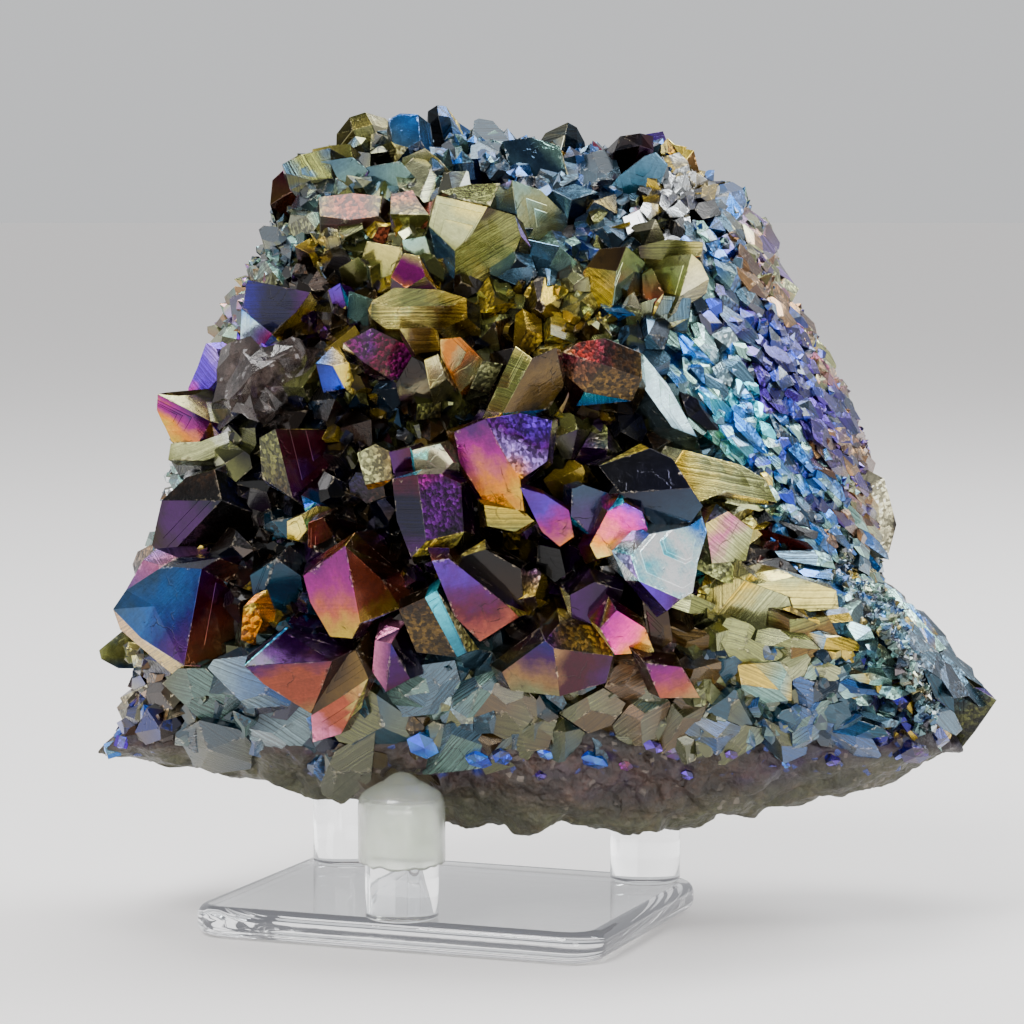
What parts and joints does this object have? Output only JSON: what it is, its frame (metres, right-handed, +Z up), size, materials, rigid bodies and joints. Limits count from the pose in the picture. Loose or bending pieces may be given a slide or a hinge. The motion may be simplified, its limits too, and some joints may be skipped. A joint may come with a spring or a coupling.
{
  "type": "aura quartz cluster",
  "caption": "Metal-coated quartz crystal cluster with a rough matrix foot, resting on a clear acrylic plate with three short pegs.",
  "frame": {"origin": "centre of the stand plate's underside", "axes": "+Z up, +X along the width of the cluster towards its low end, +Y from the front to the back"},
  "size_m": [0.1208, 0.0689, 0.1091],
  "materials": {
    "aura_quartz": "iridescent metal-coated crystal",
    "clear_acrylic": "clear gloss",
    "milky_vinyl": "milky, satin"
  },
  "bodies": {
    "root": {"crystal_cluster": "aura_quartz", "stand_base": "clear_acrylic", "stand_peg_front": "clear_acrylic", "stand_peg_rear_left": "clear_acrylic", "stand_peg_rear_right": "clear_acrylic", "front_peg_cap": "milky_vinyl"}
  },
  "joints": []
}
